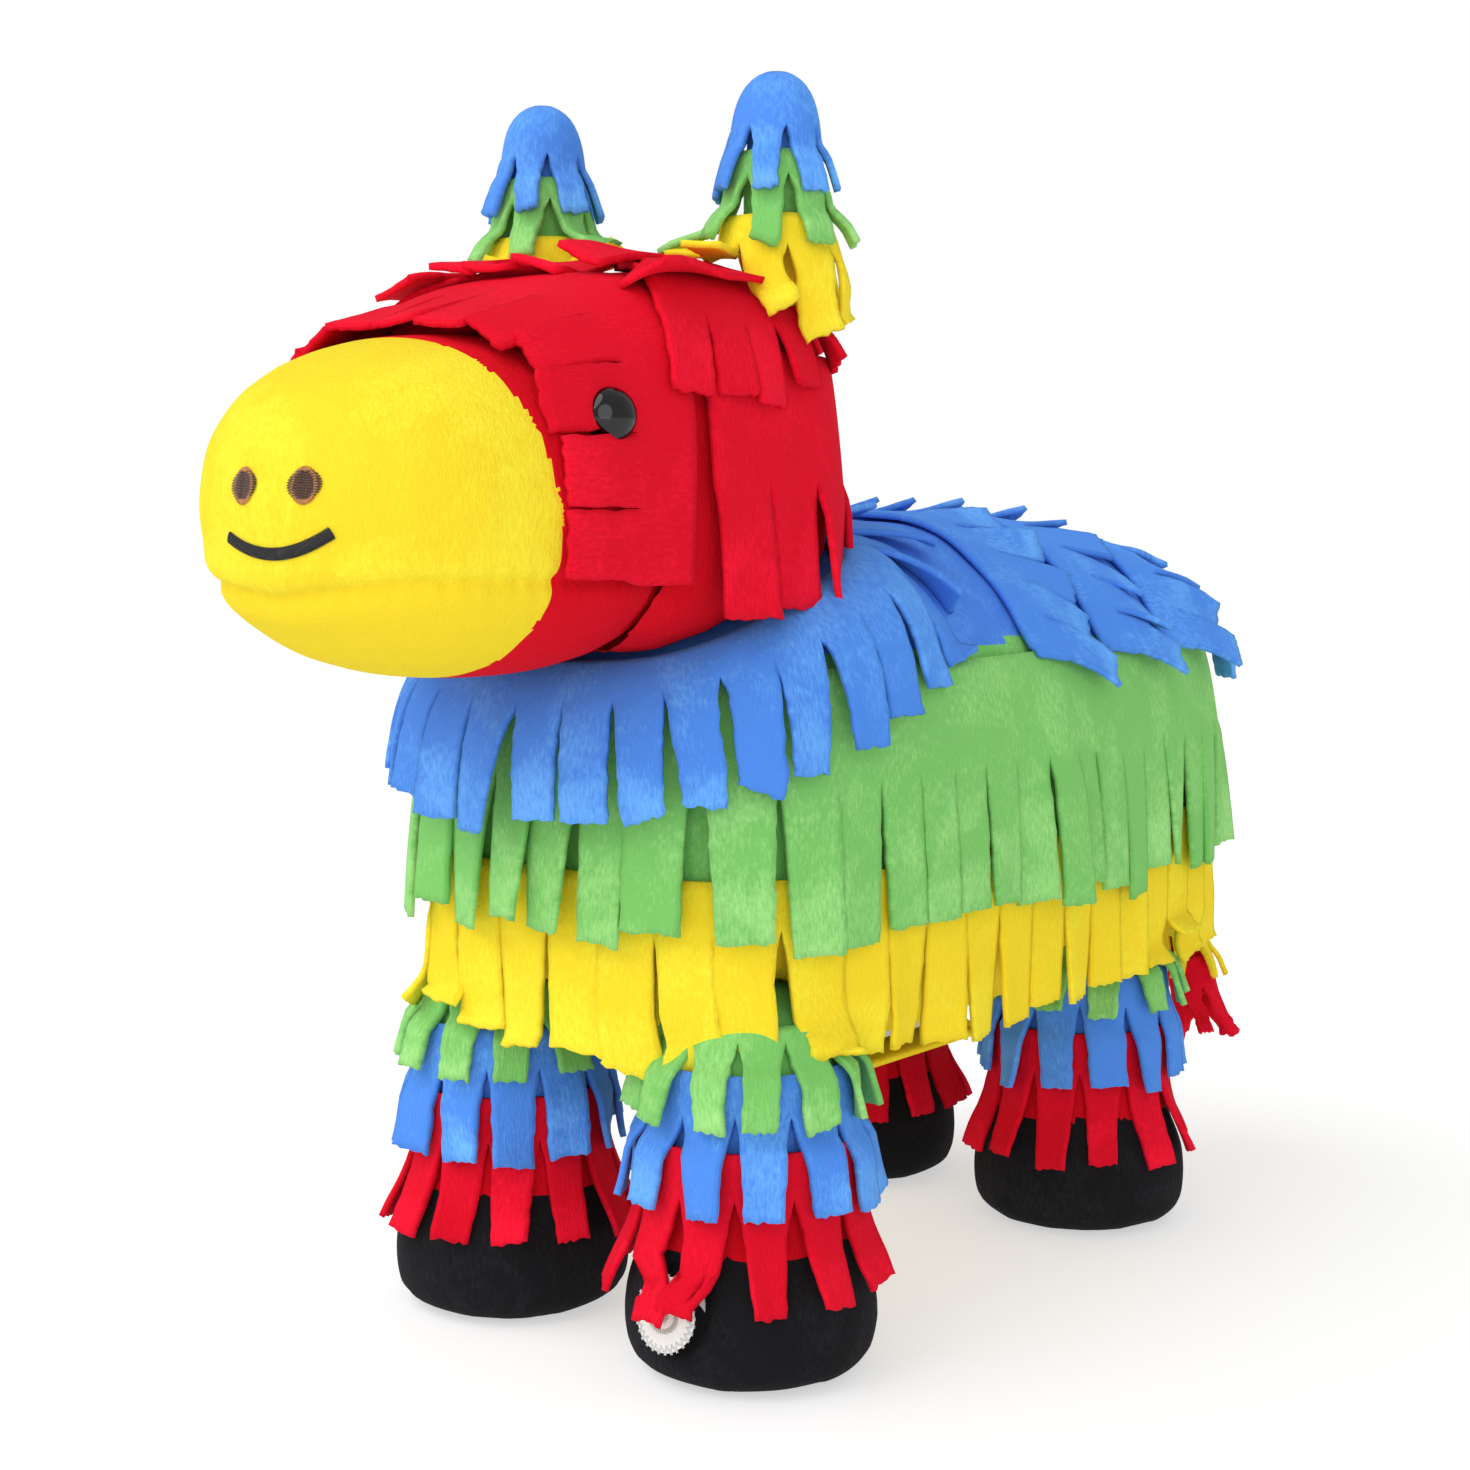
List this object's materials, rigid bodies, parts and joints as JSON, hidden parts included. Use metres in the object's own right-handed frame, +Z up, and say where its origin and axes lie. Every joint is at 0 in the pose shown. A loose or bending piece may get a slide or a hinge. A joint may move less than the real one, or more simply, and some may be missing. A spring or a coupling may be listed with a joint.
{
  "type": "plush pinata donkey",
  "caption": "Stuffed donkey in the form of a fringed pinata, with floppy ears, a turning head, a hanging tail and a press switch in one hoof.",
  "frame": {"origin": "on the ground, midway between the nose and the tail and between the left and right feet", "axes": "+Z up, -Y the way the donkey faces, +X its left side"},
  "size_m": [0.1412, 0.3454, 0.2899],
  "materials": {
    "green_minky": "short-pile plush",
    "yellow_minky": "short-pile plush",
    "blue_minky": "short-pile plush",
    "black_minky": "short-pile plush",
    "red_minky": "short-pile plush",
    "white_satin": "satin",
    "dark_plastic": "moulded",
    "pale_plastic": "moulded",
    "plated_steel": "plated",
    "battery_sleeve": "printed sleeve",
    "board_laminate": "laminate",
    "lead_sleeve": "smooth",
    "eye_plastic": "gloss"
  },
  "bodies": {
    "body": {"torso_core": "red_minky", "collar_fringe": "blue_minky", "side_fringe_green": "green_minky", "side_fringe_yellow": "yellow_minky", "back_row_4": "blue_minky", "back_row_3": "blue_minky", "back_row_2": "blue_minky", "back_row_1": "blue_minky", "front_left_leg": "black_minky", "front_left_leg_fringe_green": "green_minky", "front_left_leg_fringe_blue": "blue_minky", "front_left_leg_fringe_red": "red_minky", "front_right_leg": "black_minky", "front_right_leg_fringe_green": "green_minky", "front_right_leg_fringe_blue": "blue_minky", "front_right_leg_fringe_red": "red_minky", "rear_left_leg": "black_minky", "rear_left_leg_fringe_green": "green_minky", "rear_left_leg_fringe_blue": "blue_minky", "rear_left_leg_fringe_red": "red_minky", "rear_right_leg": "black_minky", "rear_right_leg_fringe_green": "green_minky", "rear_right_leg_fringe_blue": "blue_minky", "rear_right_leg_fringe_red": "red_minky", "press_switch_base": "dark_plastic", "sound_case": "pale_plastic", "battery_door": "pale_plastic", "door_screw": "plated_steel", "battery_1": "battery_sleeve", "battery_2": "battery_sleeve", "circuit_board": "board_laminate", "speaker": "dark_plastic", "switch_lead": "lead_sleeve"},
    "head": {"head_core": "red_minky", "muzzle_upper": "yellow_minky", "muzzle_lower": "yellow_minky", "eye_left": "eye_plastic", "eye_washer_left": "pale_plastic", "eye_right": "eye_plastic", "eye_washer_right": "pale_plastic", "face_fringe": "red_minky", "brow_fringe": "red_minky", "temple_fringe": "red_minky", "nape_fringe": "red_minky", "ear_left_fringe_yellow": "yellow_minky", "ear_right_fringe_yellow": "yellow_minky"},
    "ear_left": {"ear_left": "red_minky", "ear_left_fringe_blue": "blue_minky", "ear_left_fringe_green": "green_minky"},
    "ear_right": {"ear_right": "red_minky", "ear_right_fringe_blue": "blue_minky", "ear_right_fringe_green": "green_minky"},
    "tail": {"tail_core": "red_minky", "tail_fringe_yellow": "yellow_minky", "tail_fringe_red": "red_minky"},
    "press_button": {"press_switch_cap": "pale_plastic", "press_patch": "white_satin"},
    "belly_flap": {"belly_flap": "red_minky"},
    "power_slider": {"power_slider": "dark_plastic"}
  },
  "joints": [
    {"name": "head_turn", "type": "hinge", "parent": "body", "child": "head", "pos_m": [0, -0.05366, 0.172], "axis": [0, -0.3894, 0.9211], "range_deg": [-15, 15], "stiffness_Nm_per_rad": 3},
    {"name": "ear_left_flop", "type": "hinge", "parent": "head", "child": "ear_left", "pos_m": [0.035, -0.05266, 0.2405], "axis": [1, 0, 0], "range_deg": [-12, 12], "stiffness_Nm_per_rad": 0.15},
    {"name": "ear_right_flop", "type": "hinge", "parent": "head", "child": "ear_right", "pos_m": [-0.035, -0.05266, 0.2405], "axis": [1, 0, 0], "range_deg": [-12, 12], "stiffness_Nm_per_rad": 0.15},
    {"name": "tail_swing", "type": "hinge", "parent": "body", "child": "tail", "pos_m": [0, 0.1612, 0.155], "axis": [1, 0, 0], "range_deg": [0, 70]},
    {"name": "press_button_push", "type": "slide", "parent": "body", "child": "press_button", "axis": [0, 1, 0], "range_m": [0, 0.0015], "stiffness_N_per_m": 1500},
    {"name": "belly_flap_open", "type": "hinge", "parent": "body", "child": "belly_flap", "pos_m": [0, 0.04034, 0.0586], "axis": [1, 0, 0], "range_deg": [0, 95]},
    {"name": "power_slide", "type": "slide", "parent": "body", "child": "power_slider", "axis": [1, 0, 0], "range_m": [0, 0.003]}
  ]
}
